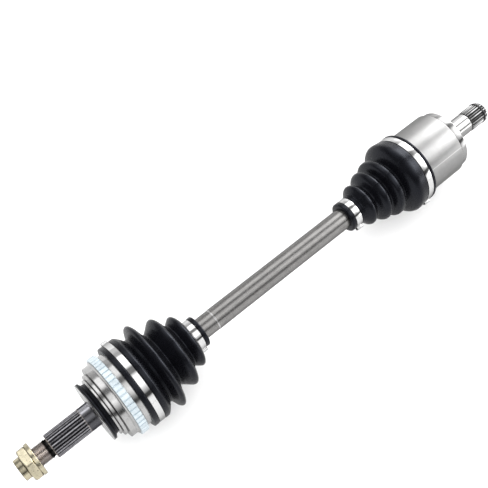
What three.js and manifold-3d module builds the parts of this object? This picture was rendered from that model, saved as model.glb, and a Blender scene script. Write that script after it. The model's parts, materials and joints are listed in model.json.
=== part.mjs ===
// Front drive-shaft (CV axle) with a fixed ball joint at the wheel end and a plunging tripod joint
// at the gearbox end. Millimetres. X runs along the axle from the flat end face of the wheel-side
// stub (X = 0) towards the gearbox, Z is up.
import * as THREE from 'three';
import { mergeVertices } from 'three/addons/utils/BufferGeometryUtils.js';
import Module from 'manifold-3d';

const wasm = await Module();
wasm.setup();

// ---------------------------------------------------------------- driving dimensions
const GAP = 0.3; // clearance between neighbouring pieces
const ROUND = 28; // facets of the large turned pieces
const SMALL_ROUND = 18; // facets of the small turned pieces

const OUTER_JOINT_X = 130; // centre of the ball joint
const INNER_JOINT_X = 561; // centre of the tripod joint at rest

const THREAD_R = 10.9;
const THREAD_END_X = 33.5;
const SPLINE_START_X = 36.2;
const SPLINE_END_X = 78;
const OUTER_SPLINE_R = 14;
const OUTER_SPLINE_TEETH = 26;
const SPLINE_DEPTH = 1.1;
const BEARING_FACE_X = 89.4; // face that seats on the wheel bearing
const NECK_R = 24;
const BELL_START_X = 98.4;
const FIRST_STEP_R = 33.9;
const SECOND_STEP_R = 37.6;
const THIRD_STEP_R = 43.2;
const COLLAR_R = 45.4; // low collar that the tone ring butts against
const BELL_R = 43.9;
const BELL_MOUTH_X = 151;

const NUT_START_X = -1;
const NUT_COLLAR_R = 12.3;
const NUT_COLLAR_LENGTH = 7;
const NUT_HEX_LENGTH = 9.3;
const NUT_ACROSS_FLATS = 35;
const NUT_CORNER_ANGLE = 112.5; // degrees about X, from +Y towards +Z
const WASHER_R = 18.65;
const WASHER_THICKNESS = 4.1;

const SHIELD_R = 34.7;
const TONE_RING_START_X = 115;
const TONE_RING_LENGTH = 9;
const TONE_RING_R = 48;
const TONE_RING_TEETH = 50;
const TONE_TOOTH_DEPTH = 1.8;

const BALL_R = 8.5;
const BALL_CIRCLE_R = 30; // distance of the ball centres from the joint centre
const GROOVE_R = 9.9; // the balls also shift a little sideways as the joint bends
const CAGE_OUTER_R = 33.5;
const CAGE_INNER_R = 28.5;
const CAGE_HALF_WIDTH = 14;
const WINDOW_LENGTH = 20.4;
const INNER_RACE_HALF_WIDTH = 11;
const INNER_RACE_BORE_R = 13.3;

const SHAFT_R = 12.6;
const SHAFT_SEAT_R = 12.3; // boot seat, a little thinner than the bar
const SHAFT_NECK_R = 11.6;
const SHAFT_SPLINE_R = 13;
const SHAFT_STEP_X = 248;

const TRUNNION_R = 9.5;
const ROLLER_R = 16;
const ROLLER_CIRCLE_R = 24; // distance of the roller centres from the joint centre
const ROLLER_HALF_WIDTH = 5.4;
const ROLLER_BORE_R = 12.2;
const SPIDER_HUB_R = 17.5;
const SPIDER_HALF_WIDTH = 12;

const HOUSING_MOUTH_X = 531;
const HOUSING_END_X = 605.4;
const HOUSING_R = 40.4;
const END_STEP_R = 37.9;
const END_FACE_X = 614.8;
const CAVITY_END_X = 596;
const TRACK_R = ROLLER_R + 1.2; // room for the rollers to rise and fall as the joint tilts
const LOBE_R = 35; // how deep the three tracks reach
const HOUSING_BORE_R = 22.5;
const JOURNAL_R = 12.85;
const INNER_SPLINE_START_X = 653.2;
const INNER_SPLINE_R = 13.3;
const INNER_SPLINE_TEETH = 25;
const STUB_GROOVE_X = 674.3;
const STUB_GROOVE_WIDTH = 2;
const STUB_END_X = 683.4;

const BOOT_WALL = 2.2;
const EAR_ANGLE = 202.5; // degrees about X, where the crimped ears of the clamps stand
const EAR_LENGTH = 7.4;
const EAR_HEIGHT = 3.2;

// ---------------------------------------------------------------- helpers
const group = new THREE.Group();
group.name = 'cv_axle';

const MATERIALS = {
  steel: { color: 0x9a9ca0, roughness: 0.35, metalness: 0.9 },
  darkSteel: { color: 0x4b4b50, roughness: 0.45, metalness: 0.8 },
  brightSteel: { color: 0xd2d4d8, roughness: 0.2, metalness: 1.0 },
  zinc: { color: 0xd8cda2, roughness: 0.4, metalness: 0.7 },
  rubber: { color: 0x1c1c20, roughness: 0.6, metalness: 0.0 },
  hardened: { color: 0x77797e, roughness: 0.25, metalness: 0.9 },
};

const radians = THREE.MathUtils.degToRad;

// Merges shared corners and drops triangles that have collapsed to a line.
function welded(geometry) {
  const source = geometry.clone();
  source.deleteAttribute('normal');
  source.deleteAttribute('uv');
  const merged = mergeVertices(source, 1e-4);
  const index = merged.index.array;
  const kept = [];
  for (let i = 0; i < index.length; i += 3) {
    const [a, b, c] = [index[i], index[i + 1], index[i + 2]];
    if (a !== b && b !== c && c !== a) kept.push(a, b, c);
  }
  merged.setIndex(kept);
  return merged;
}

function toSolid(geometry) {
  const shape = welded(geometry);
  const vertProperties = new Float32Array(shape.attributes.position.array);
  const triVerts = new Uint32Array(shape.index.array);
  return new wasm.Manifold(new wasm.Mesh({ numProp: 3, vertProperties, triVerts }));
}

function toGeometry(solid) {
  const mesh = solid.getMesh();
  const geometry = new THREE.BufferGeometry();
  geometry.setAttribute('position', new THREE.BufferAttribute(new Float32Array(mesh.vertProperties), 3));
  geometry.setIndex(new THREE.BufferAttribute(new Uint32Array(mesh.triVerts), 1));
  return geometry;
}

function addPiece(name, solid, look) {
  const geometry = toGeometry(solid);
  geometry.computeVertexNormals();
  const mesh = new THREE.Mesh(geometry, new THREE.MeshStandardMaterial(MATERIALS[look]));
  mesh.name = name;
  group.add(mesh);
}

// Turned solid about X. Profile points are [x, radius]; open ends are taken down to the axis.
function turned(profile, facets = ROUND) {
  const points = profile.map(([x, r]) => new THREE.Vector2(r, x));
  if (points[0].x > 0) points.unshift(new THREE.Vector2(0, points[0].y));
  if (points.at(-1).x > 0) points.push(new THREE.Vector2(0, points.at(-1).y));
  const geometry = new THREE.LatheGeometry(points, facets);
  geometry.rotateZ(-Math.PI / 2);
  geometry.rotateX(Math.PI / 2);
  return toSolid(geometry);
}

// Turned ring about X: the profile closes on itself and stays off the axis.
function turnedRing(profile, facets = ROUND) {
  const points = profile.map(([x, r]) => new THREE.Vector2(r, x));
  points.push(points[0].clone());
  const geometry = new THREE.LatheGeometry(points, facets);
  geometry.rotateZ(-Math.PI / 2);
  geometry.rotateX(Math.PI / 2);
  return toSolid(geometry);
}

function tube(startX, endX, innerR, outerR, facets = ROUND) {
  return turnedRing([[startX, innerR], [startX, outerR], [endX, outerR], [endX, innerR]], facets);
}

// Straight-toothed bar along X.
function toothedBar(startX, endX, tipR, rootR, teeth, tipShare, rootShare) {
  const shape = new THREE.Shape();
  const pitch = (2 * Math.PI) / teeth;
  const corners = [];
  for (let tooth = 0; tooth < teeth; tooth += 1) {
    const middle = tooth * pitch;
    corners.push([rootR, middle - (pitch * rootShare) / 2]);
    corners.push([tipR, middle - (pitch * tipShare) / 2]);
    corners.push([tipR, middle + (pitch * tipShare) / 2]);
    corners.push([rootR, middle + (pitch * rootShare) / 2]);
  }
  const points = corners.map(([r, a]) => new THREE.Vector2(r * Math.cos(a), r * Math.sin(a)));
  shape.setFromPoints(points);
  const geometry = new THREE.ExtrudeGeometry(shape, { depth: endX - startX, bevelEnabled: false });
  geometry.rotateY(Math.PI / 2);
  geometry.translate(startX, 0, 0);
  return toSolid(geometry);
}

// Ball track: a torus about an axis across the joint, which cuts two opposite grooves at once.
function trackTorus(centreX, angle) {
  const geometry = new THREE.TorusGeometry(BALL_CIRCLE_R, GROOVE_R, 10, 28);
  geometry.rotateX(Math.PI / 2 + radians(angle));
  geometry.translate(centreX, 0, 0);
  return toSolid(geometry);
}

function box(sizeX, sizeY, sizeZ, x, y, z) {
  const geometry = new THREE.BoxGeometry(sizeX, sizeY, sizeZ);
  geometry.translate(x, y, z);
  return toSolid(geometry);
}

function arc(centreX, radius, fromX, toX, steps) {
  const points = [];
  for (let i = 0; i <= steps; i += 1) {
    const x = fromX + ((toX - fromX) * i) / steps;
    points.push([centreX + x, Math.sqrt(radius * radius - x * x)]);
  }
  return points;
}

// Smooth curve through the given [x, radius] points.
function smooth(points, steps) {
  const curve = new THREE.SplineCurve(points.map(([x, r]) => new THREE.Vector2(x, r)));
  return curve.getPoints(steps).map((p) => [p.x, p.y]);
}

// The same curve moved inwards by the wall thickness, square to itself. Points that would step back
// along X inside a narrow fold are left out.
function offsetInwards(points, distance) {
  const kept = [];
  points.forEach(([x, r], i) => {
    const [x0, r0] = points[Math.max(i - 1, 0)];
    const [x1, r1] = points[Math.min(i + 1, points.length - 1)];
    const length = Math.hypot(x1 - x0, r1 - r0);
    const movedX = x + (distance * (r1 - r0)) / length;
    if (kept.length === 0 || movedX > kept.at(-1)[0] + GAP) {
      kept.push([movedX, r - (distance * (x1 - x0)) / length]);
    }
  });
  return kept;
}

// ---------------------------------------------------------------- outer race with its stub
const bell = turned([
  [0, THREAD_R - 1],
  [1, THREAD_R],
  [THREAD_END_X, THREAD_R],
  [THREAD_END_X + 0.9, THREAD_R - 0.9],
  [SPLINE_START_X, THREAD_R - 0.9],
  [SPLINE_START_X, OUTER_SPLINE_R - SPLINE_DEPTH],
  [SPLINE_END_X, OUTER_SPLINE_R - SPLINE_DEPTH],
  [SPLINE_END_X, OUTER_SPLINE_R],
  [BEARING_FACE_X - 0.6, OUTER_SPLINE_R + 0.1],
  [BEARING_FACE_X, OUTER_SPLINE_R + 0.7],
  [BEARING_FACE_X, NECK_R - 0.5],
  [BEARING_FACE_X + 0.5, NECK_R],
  [BELL_START_X, NECK_R],
  [BELL_START_X, FIRST_STEP_R],
  [BELL_START_X + 2, FIRST_STEP_R],
  [BELL_START_X + 3, FIRST_STEP_R - 0.6],
  [BELL_START_X + 3, SECOND_STEP_R],
  [BELL_START_X + 6.2, SECOND_STEP_R],
  [BELL_START_X + 7.2, SECOND_STEP_R - 0.6],
  [BELL_START_X + 7.2, THIRD_STEP_R],
  [TONE_RING_START_X - 2.6, THIRD_STEP_R],
  [TONE_RING_START_X - 0.6, COLLAR_R],
  [TONE_RING_START_X - GAP, COLLAR_R],
  [TONE_RING_START_X - GAP, BELL_R],
  [BELL_MOUTH_X - 0.8, BELL_R],
  [BELL_MOUTH_X, BELL_R - 0.8],
]);

const splineEnvelope = turned([
  [SPLINE_START_X, OUTER_SPLINE_R - SPLINE_DEPTH],
  [SPLINE_START_X + SPLINE_DEPTH, OUTER_SPLINE_R + 0.1],
  [SPLINE_END_X + 0.5, OUTER_SPLINE_R + 0.1],
]);
const outerSpline = toothedBar(
  SPLINE_START_X,
  SPLINE_END_X + 0.5,
  OUTER_SPLINE_R,
  OUTER_SPLINE_R - SPLINE_DEPTH,
  OUTER_SPLINE_TEETH,
  0.35,
  0.7,
).intersect(splineEnvelope);

const cavityR = CAGE_OUTER_R + GAP;
const bellCavity = turned([
  ...arc(OUTER_JOINT_X, cavityR, -25, 11, 7),
  [BELL_MOUTH_X + 0.1, 37.4],
]);
const grooveSlab = box(50.6, 100, 100, OUTER_JOINT_X + 5, 0, 0);

let outerRace = bell.add(outerSpline).subtract(bellCavity);
for (const angle of [0, 60, 120]) {
  outerRace = outerRace.subtract(trackTorus(OUTER_JOINT_X, angle).intersect(grooveSlab));
}
addPiece('outer_race', outerRace, 'steel');

// ---------------------------------------------------------------- nut and washer
const nutHexStart = NUT_START_X + NUT_COLLAR_LENGTH;
const nutHexEnd = nutHexStart + NUT_HEX_LENGTH;
const nutCornerR = NUT_ACROSS_FLATS / Math.sqrt(3);
const hexGeometry = new THREE.CylinderGeometry(nutCornerR, nutCornerR, NUT_HEX_LENGTH, 6);
hexGeometry.rotateZ(Math.PI / 2);
hexGeometry.rotateX(radians(NUT_CORNER_ANGLE - 90));
hexGeometry.translate((nutHexStart + nutHexEnd) / 2, 0, 0);
const hexEnvelope = turned([
  [nutHexStart, nutCornerR - 3.2],
  [nutHexStart + 1.7, nutCornerR],
  [nutHexEnd - 0.8, nutCornerR],
  [nutHexEnd, nutCornerR - 2.4],
]);
const nutCollar = turned([
  [NUT_START_X, NUT_COLLAR_R - 0.4],
  [NUT_START_X + 0.4, NUT_COLLAR_R],
  [nutHexStart + 1, NUT_COLLAR_R],
], SMALL_ROUND);
const nutBore = turned([
  [NUT_START_X - 1, THREAD_R + GAP],
  [nutHexEnd + 1, THREAD_R + GAP],
], SMALL_ROUND);
const nutBody = toSolid(hexGeometry).intersect(hexEnvelope).add(nutCollar);
addPiece('axle_nut', nutBody.subtract(nutBore), 'zinc');

const washerStart = nutHexEnd + GAP;
const washerEnd = washerStart + WASHER_THICKNESS;
addPiece('nut_washer', turnedRing([
  [washerStart, THREAD_R + 0.7],
  [washerStart, WASHER_R - 0.6],
  [washerStart + 0.6, WASHER_R],
  [washerEnd - 0.4, WASHER_R],
  [washerEnd, WASHER_R - 0.4],
  [washerEnd, THREAD_R + 0.7],
]), 'zinc');

// ---------------------------------------------------------------- shield, seal and tone ring
addPiece('dust_shield', turnedRing([
  [BEARING_FACE_X + 0.4, NECK_R + GAP],
  [BEARING_FACE_X + 0.4, SHIELD_R - 0.4],
  [BEARING_FACE_X + 0.8, SHIELD_R],
  [BEARING_FACE_X + 1.6, SHIELD_R],
  [BEARING_FACE_X + 1.6, NECK_R + GAP],
]), 'brightSteel');

addPiece('dust_seal', turnedRing([
  [BEARING_FACE_X + 1.9, NECK_R + GAP],
  [BEARING_FACE_X + 1.9, SHIELD_R - 0.3],
  [BEARING_FACE_X + 4.4, SHIELD_R - 0.3],
  [BEARING_FACE_X + 5.4, 31.4],
  [BEARING_FACE_X + 6.4, 30.4],
  [BELL_START_X - GAP, 30.4],
  [BELL_START_X - GAP, NECK_R + GAP],
]), 'rubber');

const toneTeeth = toothedBar(
  TONE_RING_START_X,
  TONE_RING_START_X + TONE_RING_LENGTH,
  TONE_RING_R,
  TONE_RING_R - TONE_TOOTH_DEPTH,
  TONE_RING_TEETH,
  0.48,
  0.6,
);
const toneBore = turned([
  [TONE_RING_START_X - 1, BELL_R + GAP],
  [TONE_RING_START_X + TONE_RING_LENGTH + 1, BELL_R + GAP],
]);
addPiece('tone_ring', toneTeeth.subtract(toneBore), 'brightSteel');

// ---------------------------------------------------------------- ball joint internals
let innerRace = turnedRing([
  [OUTER_JOINT_X - INNER_RACE_HALF_WIDTH, INNER_RACE_BORE_R],
  ...arc(OUTER_JOINT_X, CAGE_INNER_R - GAP, -INNER_RACE_HALF_WIDTH, INNER_RACE_HALF_WIDTH, 6),
  [OUTER_JOINT_X + INNER_RACE_HALF_WIDTH, INNER_RACE_BORE_R],
]);
let ballCage = turnedRing([
  ...arc(OUTER_JOINT_X, CAGE_OUTER_R, -CAGE_HALF_WIDTH, CAGE_HALF_WIDTH, 6),
  ...arc(OUTER_JOINT_X, CAGE_INNER_R, CAGE_HALF_WIDTH, -CAGE_HALF_WIDTH, 6),
]);
for (const angle of [0, 60, 120]) {
  innerRace = innerRace.subtract(trackTorus(OUTER_JOINT_X, angle));
  const windows = new THREE.BoxGeometry(2 * (BALL_R + GAP), WINDOW_LENGTH, 80);
  windows.rotateX(radians(angle));
  windows.translate(OUTER_JOINT_X, 0, 0);
  ballCage = ballCage.subtract(toSolid(windows));
}
addPiece('inner_race', innerRace, 'hardened');
addPiece('ball_cage', ballCage, 'hardened');

for (let ball = 0; ball < 6; ball += 1) {
  const angle = radians(60 * ball);
  const geometry = new THREE.SphereGeometry(BALL_R, 12, 8);
  geometry.translate(OUTER_JOINT_X, BALL_CIRCLE_R * Math.sin(angle), BALL_CIRCLE_R * Math.cos(angle));
  addPiece(`ball_${ball + 1}`, toSolid(geometry), 'brightSteel');
}

// ---------------------------------------------------------------- shaft
const raceFaceOut = OUTER_JOINT_X - INNER_RACE_HALF_WIDTH;
const raceFaceIn = OUTER_JOINT_X + INNER_RACE_HALF_WIDTH;
const spiderFaceOut = INNER_JOINT_X - SPIDER_HALF_WIDTH;
const spiderFaceIn = INNER_JOINT_X + SPIDER_HALF_WIDTH;
addPiece('shaft', turned([
  [raceFaceOut - 4, SHAFT_SPLINE_R - 1],
  [raceFaceOut - 3, SHAFT_SPLINE_R],
  [raceFaceOut - 2, SHAFT_SPLINE_R],
  [raceFaceOut - 2, SHAFT_NECK_R],
  [raceFaceOut - 0.2, SHAFT_NECK_R],
  [raceFaceOut - 0.2, SHAFT_SPLINE_R],
  [raceFaceIn + GAP, SHAFT_SPLINE_R],
  [raceFaceIn + GAP, SHAFT_SPLINE_R + 1],
  [raceFaceIn + 2, SHAFT_SPLINE_R + 1],
  [raceFaceIn + 5, SHAFT_NECK_R],
  [200, SHAFT_NECK_R],
  [206, SHAFT_SEAT_R],
  [SHAFT_STEP_X, SHAFT_SEAT_R],
  [SHAFT_STEP_X + 0.4, SHAFT_R],
  [462, SHAFT_R],
  [466, SHAFT_NECK_R],
  [spiderFaceOut - 6, SHAFT_NECK_R],
  [spiderFaceOut - 3, SHAFT_SPLINE_R + 1],
  [spiderFaceOut - GAP, SHAFT_SPLINE_R + 1],
  [spiderFaceOut - GAP, SHAFT_R],
  [spiderFaceIn + 0.2, SHAFT_R],
  [spiderFaceIn + 0.2, SHAFT_NECK_R],
  [spiderFaceIn + 2, SHAFT_NECK_R],
  [spiderFaceIn + 2, SHAFT_R],
  [spiderFaceIn + 4, SHAFT_R],
  [spiderFaceIn + 5, SHAFT_R - 1],
], SMALL_ROUND), 'steel');

addPiece('race_circlip', tube(
  raceFaceOut - 1.7,
  raceFaceOut - 0.5,
  SHAFT_NECK_R + GAP,
  SHAFT_SPLINE_R + 1.5,
  SMALL_ROUND,
), 'darkSteel');
addPiece('spider_circlip', tube(
  spiderFaceIn + 0.5,
  spiderFaceIn + 1.7,
  SHAFT_NECK_R + GAP,
  SHAFT_R + 1.7,
  SMALL_ROUND,
), 'darkSteel');

// ---------------------------------------------------------------- boots
const outerCuff = [
  [130.2, 48.3],
  [130.9, 49.6],
  [135.4, 49.8],
  [136, 48.4],
  [143.6, 48.4],
  [144.4, 49.8],
  [149, 49.8],
];
const outerBellowsLine = [
  [149, 49.8],
  [152, 47.4],
  [155.2, 43.6],
  [158.4, 40.2],
  [161.2, 42.2],
  [164.6, 49.7],
  [166.9, 51.6],
  [169.2, 51],
  [173.4, 40.9],
  [175.4, 35.8],
  [178, 32.9],
  [183.2, 36.7],
  [189.7, 41.9],
  [192.4, 42.3],
  [196.4, 37.3],
  [200.1, 28.6],
  [202.1, 26.7],
  [206.8, 30.1],
  [210.3, 31.7],
  [213.3, 29.7],
  [216, 22.4],
  [216.6, 17.2],
];
const outerBellows = smooth(outerBellowsLine, 42);
const outerSmallCuff = [
  [216.6, 16.9],
  [224.3, 16.9],
  [224.8, 18.3],
  [226.4, 18.7],
  [228.8, 18.5],
  [229.5, 17.6],
];
const outerInside = offsetInwards(smooth(outerBellowsLine, 21), BOOT_WALL)
  .filter(([x, r]) => x > BELL_MOUTH_X + 1.4 && r > SHAFT_SEAT_R + GAP && x < 214.6)
  .reverse();
addPiece('outer_boot', turnedRing([
  ...outerCuff,
  ...outerBellows.slice(1),
  ...outerSmallCuff,
  [229.5, SHAFT_SEAT_R + GAP],
  [216, SHAFT_SEAT_R + GAP],
  ...outerInside,
  [BELL_MOUTH_X + 0.6, BELL_R + GAP],
  [130.2, BELL_R + GAP],
]), 'rubber');

const innerSmallCuff = [
  [443.6, 17.2],
  [444.4, 18.3],
  [448.4, 18.4],
  [449.4, 17.4],
  [458.2, 17.4],
  [459.2, 18.2],
  [461.6, 18.4],
];
const innerBellowsLine = [
  [461.6, 18.8],
  [463.8, 19.8],
  [466.8, 23.3],
  [471.6, 26.5],
  [476, 24.3],
  [480.2, 21.4],
  [484.7, 28.8],
  [490, 32.4],
  [495.8, 28.2],
  [498.2, 26.2],
  [501.2, 32.4],
  [504, 36.6],
  [508, 37],
  [512.4, 34.2],
  [515.2, 30.5],
  [517.8, 33.6],
  [523.2, 43.6],
  [526.4, 46],
  [529.7, 46.4],
  [534.4, 45.8],
  [538.6, 45.2],
];
const innerBellows = smooth(innerBellowsLine, 40);
const innerCuff = [
  [539.8, 44],
  [548, 44],
  [548.8, 45.3],
  [551.6, 45.4],
  [552.4, 44.6],
];
const innerInside = offsetInwards(smooth(innerBellowsLine, 20), BOOT_WALL)
  .filter(([x]) => x > 466.4 && x < HOUSING_MOUTH_X - 2.6)
  .reverse();
addPiece('inner_boot', turnedRing([
  ...innerSmallCuff,
  ...innerBellows.slice(1),
  ...innerCuff,
  [552.4, HOUSING_R + GAP],
  [HOUSING_MOUTH_X - 1.6, HOUSING_R + GAP],
  ...innerInside,
  [463, SHAFT_R + GAP],
  [443.6, SHAFT_R + GAP],
]), 'rubber');

// ---------------------------------------------------------------- clamps
// A band with a crimped ear that stands up from it.
function clamp(name, startX, endX, innerR, outerR, earAngle) {
  const middle = (startX + endX) / 2;
  const width = endX - startX;
  const band = tube(startX, endX, innerR, outerR);
  const slab = new THREE.BoxGeometry(width - 1, EAR_LENGTH, EAR_HEIGHT);
  slab.translate(0, 0, outerR + EAR_HEIGHT / 2 - 0.6);
  slab.rotateX(radians(earAngle - 90));
  slab.translate(middle, 0, 0);
  const bore = turned([[startX - 1, (innerR + outerR) / 2], [endX + 1, (innerR + outerR) / 2]]);
  addPiece(name, band.add(toSolid(slab).subtract(bore)), 'brightSteel');
}
clamp('outer_boot_clamp_large', 136.3, 143.3, 48.7, 50, EAR_ANGLE + 180);
clamp('outer_boot_clamp_small', 216.9, 224, 17.2, 17.95, EAR_ANGLE);
clamp('inner_boot_clamp_small', 449.7, 457.9, 17.7, 18.5, EAR_ANGLE);
clamp('inner_boot_clamp_large', 540.1, 547.7, 44.3, 45.4, EAR_ANGLE);

// ---------------------------------------------------------------- tripod
// Turned piece about a trunnion: profile points are [distance from the shaft axis, radius].
function onTrunnion(solid, angle) {
  return solid.rotate([0, -90, 0]).rotate([angle, 0, 0]).translate([INNER_JOINT_X, 0, 0]);
}

let spider = tube(spiderFaceOut, spiderFaceIn, SHAFT_R + GAP, SPIDER_HUB_R, SMALL_ROUND);
const TRUNNION_ANGLES = [0, 120, 240]; // from +Z, about X
const rollerIn = ROLLER_CIRCLE_R - ROLLER_HALF_WIDTH;
const rollerOut = ROLLER_CIRCLE_R + ROLLER_HALF_WIDTH;
const trunnion = turned([
  [15.2, TRUNNION_R],
  [rollerOut + 0.4, TRUNNION_R],
  [rollerOut + 0.4, TRUNNION_R - 1.1],
  [rollerOut + 2, TRUNNION_R - 1.1],
  [rollerOut + 2, TRUNNION_R],
  [rollerOut + 2.6, TRUNNION_R],
  [rollerOut + 3.1, TRUNNION_R - 0.5],
], SMALL_ROUND);
for (const angle of TRUNNION_ANGLES) spider = spider.add(onTrunnion(trunnion, angle));
addPiece('tripod_spider', spider, 'steel');

const roller = turnedRing([
  [rollerIn, ROLLER_BORE_R],
  ...arc(ROLLER_CIRCLE_R, ROLLER_R, -ROLLER_HALF_WIDTH, ROLLER_HALF_WIDTH, 4),
  [rollerOut, ROLLER_BORE_R],
], SMALL_ROUND);
const needleSet = tube(rollerIn, rollerOut, TRUNNION_R + GAP, ROLLER_BORE_R - GAP, SMALL_ROUND);
const retainer = tube(rollerOut + 0.7, rollerOut + 1.7, TRUNNION_R - 0.8, ROLLER_BORE_R + 0.6, SMALL_ROUND);
TRUNNION_ANGLES.forEach((angle, i) => {
  addPiece(`roller_${i + 1}`, onTrunnion(roller, angle), 'hardened');
  addPiece(`needle_set_${i + 1}`, onTrunnion(needleSet, angle), 'brightSteel');
  addPiece(`roller_retainer_${i + 1}`, onTrunnion(retainer, angle), 'darkSteel');
});

// ---------------------------------------------------------------- inner housing with its stub
const tulip = turned([
  [HOUSING_MOUTH_X, HOUSING_R - 1.2],
  [HOUSING_MOUTH_X + 1.2, HOUSING_R],
  [HOUSING_END_X - 1, HOUSING_R],
  [HOUSING_END_X, HOUSING_R - 1],
  [HOUSING_END_X, END_STEP_R],
  [END_FACE_X - 0.8, END_STEP_R],
  [END_FACE_X, END_STEP_R - 0.8],
  [END_FACE_X, JOURNAL_R + 0.8],
  [END_FACE_X + 0.8, JOURNAL_R],
  [INNER_SPLINE_START_X, JOURNAL_R],
  [INNER_SPLINE_START_X, INNER_SPLINE_R - SPLINE_DEPTH],
  [STUB_GROOVE_X, INNER_SPLINE_R - SPLINE_DEPTH],
  [STUB_GROOVE_X, INNER_SPLINE_R - 1.9],
  [STUB_GROOVE_X + STUB_GROOVE_WIDTH, INNER_SPLINE_R - 1.9],
  [STUB_GROOVE_X + STUB_GROOVE_WIDTH, INNER_SPLINE_R - SPLINE_DEPTH],
  [STUB_END_X - 2.4, INNER_SPLINE_R - SPLINE_DEPTH],
  [STUB_END_X, 9.4],
]);
const innerTeeth = toothedBar(
  INNER_SPLINE_START_X - 0.5,
  STUB_END_X,
  INNER_SPLINE_R,
  INNER_SPLINE_R - SPLINE_DEPTH,
  INNER_SPLINE_TEETH,
  0.35,
  0.7,
);
const innerTeethEnvelope = turned([
  [INNER_SPLINE_START_X - 0.5, INNER_SPLINE_R + 0.1],
  [STUB_GROOVE_X, INNER_SPLINE_R + 0.1],
]).add(turned([
  [STUB_GROOVE_X + STUB_GROOVE_WIDTH, INNER_SPLINE_R + 0.1],
  [STUB_END_X - 3.6, INNER_SPLINE_R + 0.1],
  [STUB_END_X - 2.4, INNER_SPLINE_R - SPLINE_DEPTH],
]));
// The three tracks, the bore that joins them and the flare that lets the shaft tilt.
let tracks = turned([[HOUSING_MOUTH_X - 1, HOUSING_BORE_R], [CAVITY_END_X, HOUSING_BORE_R]]);
const trackLimit = turned([[HOUSING_MOUTH_X - 2, LOBE_R], [CAVITY_END_X, LOBE_R]]);
for (const angle of TRUNNION_ANGLES) {
  const lobe = turned([[HOUSING_MOUTH_X - 1, TRACK_R], [CAVITY_END_X, TRACK_R]])
    .translate([0, 0, ROLLER_CIRCLE_R])
    .rotate([angle, 0, 0])
    .intersect(trackLimit);
  tracks = tracks.add(lobe);
}
const flare = turned([
  [HOUSING_MOUTH_X - 1, 31.3],
  [HOUSING_MOUTH_X + 22, HOUSING_BORE_R - 0.2],
]);
const housing = tulip
  .add(innerTeeth.intersect(innerTeethEnvelope))
  .subtract(tracks.add(flare));
addPiece('inner_housing', housing, 'steel');

addPiece('stub_circlip', tube(
  STUB_GROOVE_X + 0.3,
  STUB_GROOVE_X + STUB_GROOVE_WIDTH - 0.3,
  INNER_SPLINE_R - 1.6,
  INNER_SPLINE_R + 0.5,
  SMALL_ROUND,
), 'darkSteel');

export default group;
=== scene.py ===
"""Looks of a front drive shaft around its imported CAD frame.

Metres. X runs along the axle from the wheel-side stub towards the gearbox, Z is up. Outlines are lists
of (x, radius) in millimetres. Angles round the axle are degrees from +Y towards +Z.
"""

import json
import math

import bmesh
import bpy
import numpy as np
from mathutils import Matrix, Vector


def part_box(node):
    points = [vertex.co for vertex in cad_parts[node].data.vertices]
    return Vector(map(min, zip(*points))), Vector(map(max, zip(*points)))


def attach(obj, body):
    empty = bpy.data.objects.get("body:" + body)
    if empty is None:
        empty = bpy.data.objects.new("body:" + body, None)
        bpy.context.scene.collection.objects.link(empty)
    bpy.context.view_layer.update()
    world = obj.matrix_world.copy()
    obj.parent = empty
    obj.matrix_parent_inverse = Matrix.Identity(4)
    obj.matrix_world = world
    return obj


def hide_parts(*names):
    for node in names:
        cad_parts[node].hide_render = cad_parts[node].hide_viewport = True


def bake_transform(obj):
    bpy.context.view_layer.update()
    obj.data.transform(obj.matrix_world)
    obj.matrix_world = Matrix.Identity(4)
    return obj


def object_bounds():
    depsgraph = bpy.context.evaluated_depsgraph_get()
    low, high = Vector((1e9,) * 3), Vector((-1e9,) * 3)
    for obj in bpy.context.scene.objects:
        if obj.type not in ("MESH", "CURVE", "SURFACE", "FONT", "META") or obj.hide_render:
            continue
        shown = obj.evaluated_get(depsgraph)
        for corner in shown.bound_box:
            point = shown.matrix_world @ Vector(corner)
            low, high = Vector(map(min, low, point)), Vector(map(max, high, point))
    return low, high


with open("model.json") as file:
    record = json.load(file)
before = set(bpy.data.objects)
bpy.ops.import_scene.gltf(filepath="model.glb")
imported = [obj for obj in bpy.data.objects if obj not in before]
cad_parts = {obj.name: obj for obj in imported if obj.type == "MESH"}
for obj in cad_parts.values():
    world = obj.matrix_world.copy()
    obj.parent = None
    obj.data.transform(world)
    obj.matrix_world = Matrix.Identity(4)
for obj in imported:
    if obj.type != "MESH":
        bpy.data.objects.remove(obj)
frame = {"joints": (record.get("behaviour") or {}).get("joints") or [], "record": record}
cad_low, cad_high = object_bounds()

MM = 0.001
WELD = 1e-6
SHARP_ANGLE = 32.0  # degrees between faces, above which their edge is shaded sharp
ROUND = 144  # steps round a large turned piece
SMALL_ROUND = 72
FINE_ROUND = 288

BODY_OF = {node: body for body, nodes in frame["record"]["behaviour"]["bodies"].items() for node in nodes}
JOINT = {joint["name"]: joint for joint in frame["joints"]}


def span(node):
    """Start, end and greatest radius of a CAD node, in millimetres."""
    low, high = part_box(node)
    return low.x / MM, high.x / MM, max(-low.y, high.y, -low.z, high.z) / MM


OUTER_JOINT_X = JOINT["outer_bend_y"]["pos_m"][0] / MM
INNER_JOINT_X = JOINT["inner_bend_y"]["pos_m"][0] / MM
CAMERA_SIDE = 112.5  # angle of the side of the axle that faces the camera
EAR_ANGLE = 202.5  # angle at which the clamp ears stand
HIGHLIGHT_LINE_ANGLE = CAMERA_SIDE + 27  # angle of the painted highlight line along the inner housing
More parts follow.
